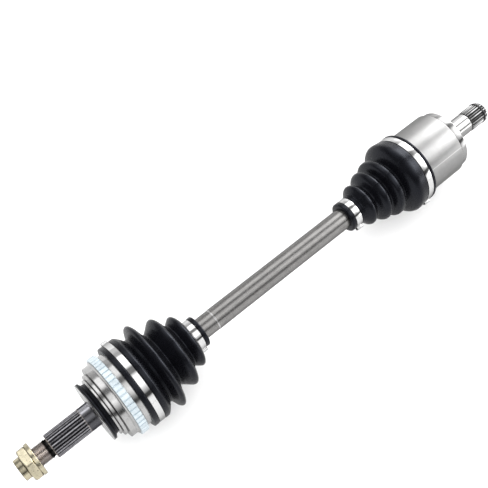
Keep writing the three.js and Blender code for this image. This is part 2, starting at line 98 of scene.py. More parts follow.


# ---- outlines
def eased(outline, radius, steps=3):
    """The outline with its corners rounded."""
    result = [outline[0]]
    for before, corner, after in zip(outline, outline[1:], outline[2:]):
        b, c, a = Vector(before), Vector(corner), Vector(after)
        into, out = c - b, a - c
        if min(into.length, out.length) < WELD or into.angle(out) < math.radians(12):
            result.append(corner)
            continue
        reach = min(radius, into.length * 0.45, out.length * 0.45)
        start = c - into.normalized() * reach
        end = c + out.normalized() * reach
        for i in range(steps + 1):
            t = i / steps
            point = start * (1 - t) ** 2 + c * (2 * t * (1 - t)) + end * t**2
            result.append((point.x, point.y))
    result.append(outline[-1])
    return result


def eased_loop(outline, radius, steps=3):
    """The same for an outline that closes on itself."""
    around = [outline[-1], *outline, outline[0]]
    return eased(around, radius, steps)[1:-1]


def smooth_line(points, steps):
    """Catmull-Rom curve through the points, with this many steps between neighbours."""
    p = np.array([points[0], *points, points[-1]], float)
    result = []
    for k in range(1, len(p) - 2):
        slope_in = (p[k + 1] - p[k - 1]) / 2
        slope_out = (p[k + 2] - p[k]) / 2
        for i in range(steps):
            t = i / steps
            point = (
                (2 * t**3 - 3 * t**2 + 1) * p[k]
                + (t**3 - 2 * t**2 + t) * slope_in
                + (3 * t**2 - 2 * t**3) * p[k + 1]
                + (t**3 - t**2) * slope_out
            )
            result.append(tuple(point))
    result.append(tuple(points[-1]))
    return result


def arc(centre_x, radius, start, end, steps):
    """Part of a circle about a point on the axle, from start to end along X."""
    xs = np.linspace(start, end, steps + 1)
    return [(centre_x + x, math.sqrt(max(radius**2 - x**2, 0.0))) for x in xs]


def even_angles(steps):
    return [360 * i / steps for i in range(steps)]


def toothed_angles(teeth, shares):
    """Angles at these shares of every tooth's pitch."""
    return [360 * (tooth + share) / teeth for tooth in range(teeth) for share in shares]


# ---- meshes
def new_object(name, data):
    """An object of this mesh, light or camera, in the scene."""
    made = bpy.data.objects.new(name, data)
    bpy.context.scene.collection.objects.link(made)
    return made


def make_piece(name, points, faces, material, sharp_angle=SHARP_ANGLE):
    """A mesh object in metres from points in millimetres, welded, with its faces pointing out."""
    mesh = bpy.data.meshes.new(name)
    mesh.from_pydata((np.array(points, float) * MM).tolist(), [], faces)
    shape = bmesh.new()
    shape.from_mesh(mesh)
    bmesh.ops.remove_doubles(shape, verts=shape.verts, dist=WELD)
    bmesh.ops.recalc_face_normals(shape, faces=shape.faces)
    shape.to_mesh(mesh)
    shape.free()
    mesh.shade_smooth()
    mesh.set_sharp_from_angle(angle=math.radians(sharp_angle))
    mesh.materials.append(material)
    return new_object(name, mesh)


def grid_faces(rows, columns, close_rows, close_columns):
    """Quads of a grid of points stored row by row."""
    faces = []
    for i in range(rows if close_rows else rows - 1):
        for j in range(columns if close_columns else columns - 1):
            a = i * columns + j
            b = i * columns + (j + 1) % columns
            c = ((i + 1) % rows) * columns + (j + 1) % columns
            d = ((i + 1) % rows) * columns + j
            faces.append((a, b, c, d))
    return faces


def turned(name, outline, material, angles=None, hollow=False, sharp_angle=SHARP_ANGLE):
    """A form turned about X. The outline is a list, or a function that gives it for each angle.
    A hollow outline closes on itself; any other is taken down to the axis at both ends."""
    angles = angles or even_angles(ROUND)
    points = []
    for angle in angles:
        line = outline(angle) if callable(outline) else outline
        if not hollow:
            line = [(line[0][0], 0.0), *line, (line[-1][0], 0.0)]
        c, s = math.cos(math.radians(angle)), math.sin(math.radians(angle))
        points.extend((x, r * c, r * s) for x, r in line)
    faces = grid_faces(len(angles), len(line), True, hollow)
    return make_piece(name, points, faces, material, sharp_angle)


def swept(name, path, section, material, closed):
    """A bar swept along a flat path [(y, z)]. Section points are (x, height above the path)."""
    path = np.array(path, float)
    ahead = np.roll(path, -1, axis=0) if closed else np.vstack([path[1:], 2 * path[-1] - path[-2]])
    behind = np.roll(path, 1, axis=0) if closed else np.vstack([2 * path[0] - path[1], path[:-1]])
    along = ahead - behind
    along /= np.linalg.norm(along, axis=1)[:, None]
    out = np.stack([along[:, 1], -along[:, 0]], axis=1)
    points = []
    for centre, up in zip(path, out):
        points.extend((x, *(centre + up * height)) for x, height in section)
    faces = grid_faces(len(path), len(section), closed, True)
    if not closed:
        last = (len(path) - 1) * len(section)
        faces.append(tuple(range(len(section))))
        faces.append(tuple(range(last, last + len(section))))
    return make_piece(name, points, faces, material)


def moved(piece, matrix):
    piece.data.transform(matrix)
    return piece


def joined(name, pieces):
    """One object from several, as separate shells of one mesh."""
    shape = bmesh.new()
    for piece in pieces:
        shape.from_mesh(piece.data)
    mesh = bpy.data.meshes.new(name)
    shape.to_mesh(mesh)
    shape.free()
    mesh.materials.append(pieces[0].data.materials[0])
    for piece in pieces:
        bpy.data.objects.remove(piece)
    return new_object(name, mesh)


def combined(piece, tools, operation):
    """The piece with each tool cut away or added, and the tools removed."""
    for tool in tools:
        change = piece.modifiers.new("change", "BOOLEAN")
        change.operation = operation
        change.solver = "EXACT"
        change.object = tool
    bpy.context.view_layer.update()
    evaluated = piece.evaluated_get(bpy.context.evaluated_depsgraph_get())
    mesh = bpy.data.meshes.new_from_object(evaluated)
    piece.modifiers.clear()
    piece.data = mesh
    for tool in tools:
        bpy.data.objects.remove(tool)
    mesh.set_sharp_from_angle(angle=math.radians(SHARP_ANGLE))
    return piece


def stands_for(piece, node, rides=True):
    """The piece stands in for the CAD node, which is hidden, and, if it rides, rides with that node's
    body.
    """
    if rides:
        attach(piece, BODY_OF[node])
    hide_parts(node)
    return piece


# ---- materials
class Nodes:
    """A node tree, with short names for the nodes it uses most."""

    def __init__(self, tree):
        self.tree = tree
        tree.nodes.clear()

    def add(self, kind, **settings):
        node = self.tree.nodes.new(kind)
        for key, value in settings.items():
            setattr(node, key, value)
        return node

    def feed(self, socket, value):
        if isinstance(value, bpy.types.NodeSocket):
            self.tree.links.new(value, socket)
        else:
            socket.default_value = value

    def made(self, kind, inputs, output=0, **settings):
        """The output of a new node with these inputs, {name or number: value}."""
        node = self.add(kind, **settings)
        for key, value in inputs.items():
            self.feed(node.inputs[key], value)
        return node.outputs[output]

    def math(self, operation, first, second=0.0):
        return self.made("ShaderNodeMath", {0: first, 1: second}, operation=operation)

    def times(self, first, second):
        return self.math("MULTIPLY", first, second)

    def plus(self, first, second):
        return self.math("ADD", first, second)

    def scaled(self, vector, factor):
        return self.made("ShaderNodeVectorMath", {0: vector, "Scale": factor}, operation="SCALE")

    def product(self, first, second):
        return self.made("ShaderNodeVectorMath", {0: first, 1: second}, operation="MULTIPLY")

    def split(self, vector):
        node = self.add("ShaderNodeSeparateXYZ")
        self.feed(node.inputs[0], vector)
        return node.outputs

    def joined(self, x, y, z):
        return self.made("ShaderNodeCombineXYZ", {0: x, 1: y, 2: z})

    def step(self, value, start, end, low=0.0, high=1.0):
        """Smooth change from low to high as the value goes from start to end."""
        inputs = {"Value": value, "From Min": start, "From Max": end, "To Min": low, "To Max": high}
        return self.made("ShaderNodeMapRange", inputs, interpolation_type="SMOOTHSTEP")

    def band(self, value, start, end, soft):
        """1 between start and end, 0 outside, with soft edges."""
        rise = self.step(value, start - soft, start + soft)
        fall = self.step(value, end - soft, end + soft, 1.0, 0.0)
        return self.times(rise, fall)

    def levels(self, value, stops, brightest):
        """The level that runs straight from stop to stop, (value, level), over the whole list."""
        first, last = stops[0][0], stops[-1][0]
        share = self.math("DIVIDE", self.math("SUBTRACT", value, first), last - first)
        ramp = self.add("ShaderNodeValToRGB")
        self.feed(ramp.inputs[0], share)
        elements = ramp.color_ramp.elements
        while len(elements) < len(stops):
            elements.new(0.5)
        for element, (place, level) in zip(elements, stops):
            element.position = (place - first) / (last - first)
            element.color = grey(level / brightest)
        return self.scaled(ramp.outputs[0], brightest)


class Look(Nodes):
    """One material's node tree, with the place on the piece in millimetres and degrees."""

    def __init__(self, name):
        self.material = bpy.data.materials.new(name)
        self.material.use_nodes = True
        super().__init__(self.material.node_tree)
        self.surface = self.add("ShaderNodeBsdfPrincipled")
        output = self.add("ShaderNodeOutputMaterial")
        self.feed(output.inputs["Surface"], self.surface.outputs["BSDF"])
        self.place = self.scaled(self.add("ShaderNodeTexCoord").outputs["Object"], 1 / MM)
        self.x, self.y, self.z = self.split(self.place)
        squares = self.plus(self.times(self.y, self.y), self.times(self.z, self.z))
        self.radius = self.math("SQRT", squares)
        self.angle = self.times(self.math("ARCTAN2", self.z, self.y), 180 / math.pi)

    def noise(self, scale, detail, at=None, roughness=0.55):
        inputs = {"Vector": at or self.place, "Scale": scale, "Detail": detail, "Roughness": roughness}
        return self.made("ShaderNodeTexNoise", inputs, "Fac")

    def mix(self, share, first, second):
        """The first colour, or the second where the share is 1."""
        return self.made("ShaderNodeMix", {0: share, 6: first, 7: second}, 2, data_type="RGBA")

    def between(self, share, first, second):
        """The first value, or the second where the share is 1."""
        return self.plus(self.times(first, self.math("SUBTRACT", 1.0, share)), self.times(second, share))

    def bump(self, height, distance, below=None):
        """Surface relief: distance is the height of a full step, in millimetres."""
        inputs = {"Height": height, "Distance": distance * MM}
        if below is not None:
            inputs["Normal"] = below
        return self.made("ShaderNodeBump", inputs)

    def turned_lines(self, fineness):
        """Cutting marks that run round the axle on barrels, steps and end faces alike."""
        along = self.plus(self.x, self.radius)
        return self.noise(fineness, 4.0, self.joined(along, self.times(self.angle, 0.004), 0.0), 0.7)

    def ground_lines(self, fineness):
        """Polishing marks that run along the axle."""
        turn = self.times(self.angle, 0.2)
        return self.noise(fineness, 4.0, self.joined(self.times(self.x, 0.01), turn, self.radius), 0.7)

    def finish(self, **inputs):
        for key, value in inputs.items():
            self.feed(self.surface.inputs[key.replace("_", " ")], value)
        return self.material


def grey(level, warmth=0.0):
    """A grey, warmer above 0 and bluer below."""
    return (level * (1 + warmth), level, level * (1 - warmth), 1.0)


def metal(
    name, tint, roughness, line_depth, fineness, along=False, smudge=0.08, extra=None, metallic=1.0,
    edge=1.0,
):
    """Worked metal: fine tool marks, uneven sheen and slight clouding of the colour. The function extra
    may change the colour and roughness, and edge is how much is mirrored at a grazing angle."""
    look = Look(name)
    look.finish(Specular_Tint=grey(edge))
    lines = look.ground_lines(fineness) if along else look.turned_lines(fineness)
    fine = look.noise(1.7, 5.0)
    shade = look.step(look.noise(0.12, 4.0), 0.3, 0.7, 1 - smudge, 1 + smudge)
    streaks = look.step(lines, 0.25, 0.75, 0.93, 1.05)
    colour = look.scaled(tint[:3], look.times(shade, streaks))
    sheen = look.step(fine, 0.3, 0.75, 0.85, 1.25)
    rough = look.times(sheen, look.step(lines, 0.2, 0.8, 0.85 * roughness, 1.15 * roughness))
    if extra is not None:
        colour, rough = extra(look, colour, rough)
    relief = look.bump(lines, line_depth, look.bump(fine, line_depth * 0.6))
    return look.finish(Base_Color=colour, Metallic=metallic, Roughness=rough, Normal=relief)


THREAD_END_X = 33.5  # X is 0 at the end of the wheel-side stub
SPLINE_START_X = 36.2
SPLINE_END_X = 78
SPLINE_R = 14
SPLINE_DEPTH = 1.1
INNER_SPLINE_R = 13.3
NECK_R = 24
COLLAR_R = 12.3
BARREL_LENGTH = 74.4
FACE_LENGTH = 83.8
JOURNAL_LENGTH = 122.2
STEP_X = OUTER_JOINT_X + 118
shield_start, shield_end, shield_r = span("dust_shield")
seal_start, seal_end, seal_r = span("dust_seal")
tone_start, tone_end, tone_r = span("tone_ring")
housing_start, housing_tip, housing_r = span("inner_housing")
nut_start, nut_end, _ = span("axle_nut")
bell_start = seal_end + 0.3
SECOND_STEP_X = bell_start + 3
THIRD_STEP_X = bell_start + 7.2
HEX_START_X = nut_start + 7
BARREL_END_X = housing_start + BARREL_LENGTH
HOUSING_FACE_X = housing_start + FACE_LENGTH
JOURNAL_END_X = housing_start + JOURNAL_LENGTH

PHOSPHATE = (0.020, 0.020, 0.023, 1.0)
WORN_CREST = (0.40, 0.395, 0.42, 1.0)
THREAD_STEEL = (0.52, 0.475, 0.455, 1.0)
SHOULDER_STEEL = (0.11, 0.11, 0.12, 1.0)
HIGHLIGHT_STEEL = (0.52, 0.52, 0.56, 1.0)
NUT_STAIN_AND_SHADE = (0.10, 0.08, 0.055, 1.0)


def race_finish(look, colour, rough):
    """The stub is phosphate dark and rubbed bright on the crests of its spline, with a painted highlight
    along one side of the plain shoulder behind it. Painted shade darkens the corners of the bell's steps."""
    on_stub = look.step(look.x, shield_start - 0.9, shield_start - 0.3, 1.0, 0.0)
    run_out = SPLINE_END_X - 1.4
    on_spline = look.band(look.x, SPLINE_START_X + 0.6, run_out, 0.6)
    on_shoulder = look.step(look.x, run_out, SPLINE_END_X)
    crest = look.step(look.radius, SPLINE_R - 0.8, SPLINE_R - 0.1)
    wear = look.step(look.noise(0.5, 4.0), 0.3, 0.7, 0.6, 1.0)
    spline = look.mix(look.times(crest, wear), PHOSPHATE, WORN_CREST)
    relief = look.band(look.x, THREAD_END_X - 2, SPLINE_START_X - 0.2, 0.5)
    thread = look.mix(relief, THREAD_STEEL, grey(0.02))
    # painted highlight: a lighter band along one side of the shoulder, at a fixed angle from the side
    # facing the camera
    painted_highlight = look.band(look.angle, CAMERA_SIDE - 62, CAMERA_SIDE - 32, 6)
    shoulder = look.mix(painted_highlight, SHOULDER_STEEL, HIGHLIGHT_STEEL)
    stub = look.mix(on_spline, look.mix(on_shoulder, thread, shoulder), spline)
    # painted shade: darker bands in the corners of the bell's steps
    corners = [look.band(look.x, x - 0.7, x + 0.1, 0.2) for x in (SECOND_STEP_X, THIRD_STEP_X)]
    step_corner_shade = look.plus(*corners)
    bell = look.mix(look.times(step_corner_shade, 0.8), colour, grey(0.06))
    oil = look.step(look.noise(0.25, 4.0), 0.35, 0.7, 0.05, 0.16)
    look.finish(Specular_Tint=look.mix(on_stub, grey(1.0), grey(0.25)))
    return look.mix(on_stub, bell, stub), look.plus(rough, look.times(on_stub, oil))


def housing_finish(look, colour, rough):
    """The barrel is satin with one painted highlight line along it, the end step and journal are
    polished, and the spline is oiled dark."""
    barrel = look.step(look.x, BARREL_END_X - 1.2, BARREL_END_X - 0.4, 1.0, 0.0)
    spline = look.step(look.x, JOURNAL_END_X - 0.6, JOURNAL_END_X + 0.4)
    crest = look.step(look.radius, INNER_SPLINE_R - SPLINE_DEPTH, INNER_SPLINE_R - 0.4, 0.0, 0.6)
    # painted highlight: a thin brighter line along the barrel
    highlight_line = look.band(look.angle, HIGHLIGHT_LINE_ANGLE - 0.3, HIGHLIGHT_LINE_ANGLE + 0.3, 0.2)
    satin = look.scaled(colour, look.plus(look.times(highlight_line, 0.9), 1.0))
    polished = look.scaled(colour, 1.2)
    oiled = look.mix(crest, grey(0.03), grey(0.5))
    shown = look.mix(spline, look.mix(barrel, polished, satin), oiled)
    return shown, look.between(barrel, look.times(rough, 0.4), rough)


def bar_finish(look, colour, rough):
    """A painted highlight lies on the edge of the step between the two ground diameters."""
    # painted highlight: a bright band on the edge of the step
    edge = look.band(look.x, STEP_X - 0.6, STEP_X + 0.8, 0.3)
    return look.mix(look.times(edge, 0.8), colour, grey(0.75)), rough


def shield_finish(look, colour, rough):
    """The rolled rim of the plate is darker than its face."""
    rim = look.step(look.radius, shield_r - 0.7, shield_r - 0.3)
    return look.mix(look.times(rim, 0.9), colour, grey(0.10)), rough


def nut_finish(look, colour, rough):
    """Yellow passivation with brown spots and a painted shade line in the corner between the collar and
    the hexagon.
    """
    spots = look.step(look.noise(0.5, 3.0), 0.62, 0.70, 0.0, 0.7)
    # painted shade: a dark line in the corner where the collar meets the hexagon
    corner = look.band(look.x, HEX_START_X - 0.7, HEX_START_X + 0.1, 0.3)
    low = look.step(look.radius, COLLAR_R + 0.6, COLLAR_R + 1.3, 1.0, 0.0)
    stains_and_corner_shade = look.math("MAXIMUM", spots, look.times(corner, low))
    return look.mix(stains_and_corner_shade, colour, NUT_STAIN_AND_SHADE), rough


def rubber(name, base, roughness):
    """Moulded rubber: fine pebble, soft clouding and a faint parting line on two sides."""
    look = Look(name)
    pebble = look.noise(2.6, 5.0, roughness=0.65)
    dust = look.step(look.noise(0.07, 3.0), 0.35, 0.75, 0.85, 1.25)
    colour = look.scaled(base[:3], dust)
    rough = look.step(look.noise(0.5, 4.0), 0.3, 0.7, roughness * 0.88, roughness * 1.14)
    side = look.math("ABSOLUTE", look.math("SUBTRACT", look.math("ABSOLUTE", look.angle), 95.0))
    seam = look.step(look.times(side, look.radius), 14.0, 34.0, 1.0, 0.0)
    relief = look.bump(pebble, 0.03, look.bump(seam, 0.12))
    return look.finish(
        Base_Color=colour,
        Roughness=rough,
        Normal=relief,
        Specular_IOR_Level=0.26,
        Specular_Tint=(0.78, 0.84, 1.0, 1.0),
    )


RACE = metal("race_machined", grey(0.56, 0.004), 0.16, 0.003, 5.0, extra=race_finish)
TONE = metal("tone_plated", (0.56, 0.63, 0.67, 1.0), 0.32, 0.002, 3.0, metallic=0.4)
SHIELD = metal("shield_plated", grey(0.76, -0.01), 0.16, 0.002, 6.0, extra=shield_finish)
ZINC = metal(
    "zinc_plated", (0.66, 0.60, 0.44, 1.0), 0.22, 0.003, 4.0, smudge=0.12, extra=nut_finish, edge=0.6
)
BEARING = metal("bearing_ground", grey(0.42, -0.01), 0.20, 0.002, 6.0)
BALL = metal("ball_polished", grey(0.80), 0.06, 0.0005, 2.0, smudge=0.02)
BAR = metal("bar_ground", grey(0.30, 0.02), 0.26, 0.004, 6.0, along=True, extra=bar_finish, edge=0.45)
SPRING = metal("spring_oxide", grey(0.06), 0.38, 0.002, 4.0)
CLAMP = metal("clamp_stainless", grey(0.87), 0.06, 0.001, 5.0, smudge=0.03, edge=0.5)
HOUSING = metal(
    "housing_satin", grey(0.37, 0.005), 0.36, 0.003, 5.0, smudge=0.03, extra=housing_finish, edge=0.45
)
BOOT = rubber("boot_rubber", (0.0025, 0.0025, 0.0035, 1.0), 0.27)
SEAL = rubber("seal_rubber", (0.004, 0.004, 0.005, 1.0), 0.4)


# ---- outer race with its stub
THREAD_R = 10.9
THREAD_PITCH = 1.5
THREAD_DEPTH = 0.9
SPLINE_TEETH = 26
BALLS = 6
BALL_CIRCLE_R = 30
GROOVE_R = 9.9
GROOVE_START = -20.3  # from the joint's centre, as the flare's start is
FLARE_START = 11
FLARE_R = 32
CAVITY_R = 33.8
TOOTH_SHARES = (0, 0.1, 0.175, 0.2625, 0.35, 0.5, 0.65, 0.7375, 0.825, 0.9)


def thread_height(x, angle):
    """0 at the root of the thread and 1 at its crest."""
    phase = (x / THREAD_PITCH - angle / 360) % 1
    return min(max((abs(2 * phase - 1) - 0.2) / 0.65, 0.0), 1.0)


def tooth_height(angle, teeth):
    """0 at the root of a straight spline and 1 at its crest."""
    phase = (angle * teeth / 360) % 1
    return 1 - min(max((2 * min(phase, 1 - phase) - 0.35) / 0.35, 0.0), 1.0)


def smooth_step(value, start, end):
    t = min(max((value - start) / (end - start), 0.0), 1.0)
    return t * t * (3 - 2 * t)


def spline_r(x, angle):
    """Radius of the stub's spline, which starts with a chamfer and runs out where the hob left it."""
    root = SPLINE_R - SPLINE_DEPTH
    tooth = root + SPLINE_DEPTH * tooth_height(angle, SPLINE_TEETH)
    chamfer = root + (x - SPLINE_START_X) * 1.2
    run_out = root + SPLINE_DEPTH * smooth_step(x, SPLINE_END_X - 3, SPLINE_END_X)
    return max(min(tooth, chamfer), run_out)


def groove_sides(dx, angle):
    """Nearest and farthest reach from the axle of the ball grooves, dx from the joint centre."""
    off = math.radians(angle % (360 / BALLS) - 180 / BALLS)
    reach = np.arange(18.0, 42.0, 0.05)
    ring = np.hypot(dx, reach * math.cos(off)) - BALL_CIRCLE_R
    inside = reach[np.hypot(ring, reach * math.sin(off)) < GROOVE_R]
    return (inside[0], inside[-1]) if len(inside) else (99.0, 0.0)


def step_with_groove(x, low_r, high_r):
    """Where a turned step rises, with the groove that the tool leaves in its corner."""
    return [(x - 0.8, low_r), (x - 0.7, low_r - 1), (x, low_r - 1), (x, high_r)]


_, bell_mouth, _ = span("outer_race")
BELL_R = 43.9
FIRST_STEP_R = 33.9
SECOND_STEP_R = 37.6
THIRD_STEP_R = 43.2
TONE_COLLAR_R = 45.4
BELL_OUTLINE = eased(
    [
        (SPLINE_END_X + 1, SPLINE_R), (shield_start - 1.2, SPLINE_R + 0.1),
        (shield_start - 0.4, SPLINE_R + 0.9), (shield_start - 0.4, NECK_R - 0.5),
        (shield_start + 0.1, NECK_R), (bell_start, NECK_R), (bell_start, FIRST_STEP_R),
        *step_with_groove(SECOND_STEP_X, FIRST_STEP_R, SECOND_STEP_R),
        *step_with_groove(THIRD_STEP_X, SECOND_STEP_R, THIRD_STEP_R),
        (tone_start - 3.1, THIRD_STEP_R), (tone_start - 2.9, THIRD_STEP_R - 0.3),
        (tone_start - 2.4, THIRD_STEP_R - 0.3), (tone_start - 0.6, TONE_COLLAR_R),
        (tone_start - 0.3, TONE_COLLAR_R), (tone_start - 0.3, BELL_R), (tone_end + 0.6, BELL_R),
        (tone_end + 0.7, BELL_R - 0.25), (tone_end + 1.1, BELL_R - 0.25), (tone_end + 1.2, BELL_R),
        (bell_mouth - 0.8, BELL_R), (bell_mouth, BELL_R - 0.8), (bell_mouth, 37.4),
    ],
    0.35,
)


def cavity_r(dx, angle):
    """Radius of the bell's cavity: the sphere that the cage runs in, its flared mouth and the grooves."""
    flared = dx > FLARE_START
    wall = FLARE_R + (dx - FLARE_START) * 0.54 if flared else math.sqrt(CAVITY_R**2 - dx**2)
    return max(wall, groove_sides(dx, angle)[1]) if dx > GROOVE_START else wall


def race_outline(angle):
    """The stub with its centre hole, thread and spline, the stepped bell and the cavity."""
    line = [(3.2, 0.4), (0.4, 2.0), (0, 2.2), (0, THREAD_R - 1.2)]
    for x in np.arange(0.15, THREAD_END_X, THREAD_PITCH / 10):
        depth = THREAD_DEPTH * (1 - smooth_step(x, THREAD_END_X - 1.5, THREAD_END_X - 0.2))
        r = THREAD_R - depth * (1 - thread_height(x, angle))
        line.append((x, min(r, THREAD_R - 1.2 + x)))
    line += [(THREAD_END_X + 0.6, THREAD_R - 0.8), (THREAD_END_X + 1.2, THREAD_R - 0.9)]
    line += [(SPLINE_START_X - 0.3, THREAD_R - 0.9), (SPLINE_START_X, THREAD_R - 0.6)]
    chamfer = np.arange(SPLINE_START_X, SPLINE_START_X + 1.3, 0.3)
    middle = (SPLINE_START_X + 13.8, SPLINE_END_X - 15)  # keeps the shading of the ends off the teeth
    run_out = np.arange(SPLINE_END_X - 3, SPLINE_END_X + 0.1, 0.5)
    for x in [*chamfer, *middle, *run_out]:
        line.append((x, spline_r(x, angle)))
    line += BELL_OUTLINE
    for dx in [21, 18, 15, 13, FLARE_START, *np.arange(10, GROOVE_START, -1.5), GROOVE_START, -22, -25]:
        line.append((OUTER_JOINT_X + dx, cavity_r(dx, angle)))
    return line


race_angles = toothed_angles(SPLINE_TEETH, TOOTH_SHARES)
race = turned("outer_race_machined", race_outline, RACE, race_angles, sharp_angle=26)
stands_for(race, "outer_race")


# ---- nut and washer
HEX_FLAT_R = 17.5
HEX_CORNER_R = 20
HEX_FACE_R = 16.6
NUT_BORE_R = THREAD_R + 0.3
CORNER_ANGLE = CAMERA_SIDE


def nut_outline(angle):
    """A round collar and a chamfered hexagon round a threaded bore."""
    off = math.radians((angle - CORNER_ANGLE) % 60 - 30)
    side = min(HEX_FLAT_R / math.cos(off), HEX_CORNER_R)
    front_chamfer = HEX_START_X + (side - HEX_FACE_R) * 0.58
    back_chamfer = nut_end - max(side - HEX_FLAT_R - 0.4, 0.0) * 0.4
    line = [
        (nut_start + 0.5, NUT_BORE_R), (nut_start + 0.05, THREAD_R + 0.6),
        (nut_start, THREAD_R + 0.7), (nut_start, COLLAR_R - 0.5),
        (nut_start + 0.15, COLLAR_R - 0.2), (nut_start + 0.6, COLLAR_R),
        (HEX_START_X - 0.6, COLLAR_R), (HEX_START_X - 0.15, COLLAR_R + 0.15),
        (HEX_START_X, COLLAR_R + 0.6), (HEX_START_X, HEX_FACE_R - 0.3),
        (HEX_START_X + 0.05, HEX_FACE_R), (front_chamfer, side - 0.12), (front_chamfer + 0.2, side),
        (back_chamfer - 0.2, side), (back_chamfer, side - 0.12), (nut_end, HEX_FLAT_R),
        (nut_end, THREAD_R + 1.4), (nut_end - 0.1, THREAD_R + 1.2), (nut_end - 1.2, NUT_BORE_R),
    ]
    for x in np.arange(nut_end - 1.4, nut_start + 1.3, -THREAD_PITCH / 8):
        line.append((x, NUT_BORE_R - 0.25 * (1 - thread_height(x, angle))))
    return line


nut = turned("axle_nut_zinc", nut_outline, ZINC, hollow=True, sharp_angle=24)
stands_for(nut, "axle_nut")

washer_start, washer_end, washer_r = span("nut_washer")
WASHER_OUTLINE = [
    (washer_start, THREAD_R + 0.7), (washer_start, washer_r), (washer_end, washer_r),
    (washer_end, THREAD_R + 0.7),
]
washer = turned("nut_washer_zinc", eased_loop(WASHER_OUTLINE, 0.7, 5), ZINC, hollow=True)
stands_for(washer, "nut_washer")


# ---- shield, seal and tone ring
NECK_BORE_R = NECK_R + 0.3
SHIELD_OUTLINE = [
    (shield_start, NECK_BORE_R), (shield_start, NECK_R + 2.6), (shield_start + 0.25, NECK_R + 3.4),
    (shield_start + 0.25, shield_r - 2.2), (shield_start, shield_r - 1.4), (shield_start, shield_r),
    (shield_end, shield_r), (shield_end, NECK_BORE_R),
]
shield = turned("dust_shield_plate", eased_loop(SHIELD_OUTLINE, 0.45), SHIELD, hollow=True)
stands_for(shield, "dust_shield")

SEAL_OUTLINE = [
    (seal_start, NECK_BORE_R), (seal_start, seal_r), (seal_start + 1.9, seal_r),
    (seal_start + 2.5, seal_r - 1.4), (seal_start + 3.2, 31.6), (seal_start + 3.8, 31.2),
    (seal_start + 4.3, 30.4), (seal_start + 5.2, 31.0), (seal_start + 5.9, 30.2), (seal_end, 30.4),
    (seal_end, NECK_BORE_R),
]
seal = turned("dust_seal_rubber", eased_loop(SEAL_OUTLINE, 0.5), SEAL, hollow=True)
stands_for(seal, "dust_seal")

TONE_TEETH = 50
TONE_DEPTH = 1.3
TONE_SHARES = (0, 0.3, 0.6, 0.66, 0.69, 0.72, 0.74, 0.82, 0.90, 0.92, 0.95, 0.98)


def tone_outline(angle):
    """Square teeth with a narrow rounded gap after each."""
    phase = (angle * TONE_TEETH / 360) % 1
    gap = min(smooth_step(phase, 0.66, 0.74), 1 - smooth_step(phase, 0.90, 0.98))
    tip = tone_r - TONE_DEPTH * gap
    edge = tip - 0.35
    return [
        (tone_start, BELL_R + 0.3), (tone_start, edge - 0.1), (tone_start + 0.1, edge),
        (tone_start + 0.45, tip), (tone_end - 0.45, tip), (tone_end - 0.1, edge),
        (tone_end, edge - 0.1), (tone_end, BELL_R + 0.3),
    ]


tone_angles = toothed_angles(TONE_TEETH, TONE_SHARES)
tone = turned("tone_ring_plated", tone_outline, TONE, tone_angles, hollow=True, sharp_angle=28)
stands_for(tone, "tone_ring")


# ---- boots
WALL = 1.7
CUFF_SEAT_R = 48.4  # radii of the boots' outsides under their clamps
SMALL_SEAT_R = 17
INNER_SEAT_R = housing_r + 3.6
INNER_SMALL_SEAT_R = 17.5
SHAFT_SEAT_R = 12.3
SHAFT_R = 12.6


def offset_inwards(distances, radii, wall):
    """Radius of the inner skin of a wall of even thickness under the outer one."""
    result = np.full(len(distances), 1e3)
    for shift in np.linspace(-wall, wall, 13):
        under = np.interp(distances + shift, distances, radii) - math.sqrt(max(wall**2 - shift**2, 0))
        result = np.minimum(result, under)
    return result


class Boot:
    """A bellows described by distance from its joint centre towards the shaft, and radius."""

    def __init__(self, node, joint_x, direction, outline, wide_bore, wide_end, narrow_bore, narrow_start):
        self.node = node
        self.joint_x = joint_x
        self.direction = direction
        self.d = np.array([p[0] for p in outline])
        self.r = np.array([p[1] for p in outline])
        inner = offset_inwards(self.d, self.r, WALL)
        inner = np.where(self.d > narrow_start, narrow_bore, np.maximum(inner, narrow_bore))
        self.inner = np.where(self.d < wide_end, wide_bore, inner)

    def x(self, distance):
        return self.joint_x + self.direction * distance

    def part(self, name, start, end):
        """The ring of the boot from start to end, as a closed shell."""
        between = self.d[(self.d > start + 0.02) & (self.d < end - 0.02)]
        along = np.array([start, *between, end])
        skin = list(zip(self.x(along), np.interp(along, self.d, self.r)))
        lining = list(zip(self.x(along), np.interp(along, self.d, self.inner)))
        piece = turned(name, skin + lining[::-1], BOOT, hollow=True, sharp_angle=50)
        return stands_for(piece, self.node, rides=False)

    def rigid(self, name, start, end, body):
        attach(self.part(name, start, end), body)

    def bending(self, name, start, end):
        piece = self.part(name, start, end)
        from_point = (self.x(start) * MM, 0, 0)
        to_point = (self.x(end) * MM, 0, 0)
        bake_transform(piece)


outer_cuff = eased(
    [
        (0.2, CUFF_SEAT_R - 0.4), (0.7, 49.8), (5.6, 49.8), (6.1, CUFF_SEAT_R), (13.7, CUFF_SEAT_R),
        (14.3, 49.9), (18.6, 49.9),
    ],
    0.7,
)
outer_bellows = smooth_line(
    [
        (19.4, 49.6), (22, 47.4), (25.2, 43.6), (27.3, 40.2), (28.5, 40.4), (29.8, 40.2),
        (31.2, 42.2), (32.8, 45.8), (34.6, 49.7), (36.9, 51.6), (39.2, 51.0), (41.3, 47.6),
        (43.4, 40.9), (45.4, 35.8), (46.9, 33.3), (48.2, 32.9), (50.4, 34.5), (53.2, 36.7),
        (56.8, 39.9), (59.7, 41.9), (62.4, 42.3), (64.6, 40.7), (66.4, 37.3), (68.5, 31.7),
        (70.1, 28.6), (72.1, 26.7), (74, 28.0), (76.8, 30.1), (79.2, 31.6), (81.4, 31.5),
        (83.3, 29.7), (84.6, 27.0), (86, 22.4), (86.7, 17.7),
    ],
    6,
)
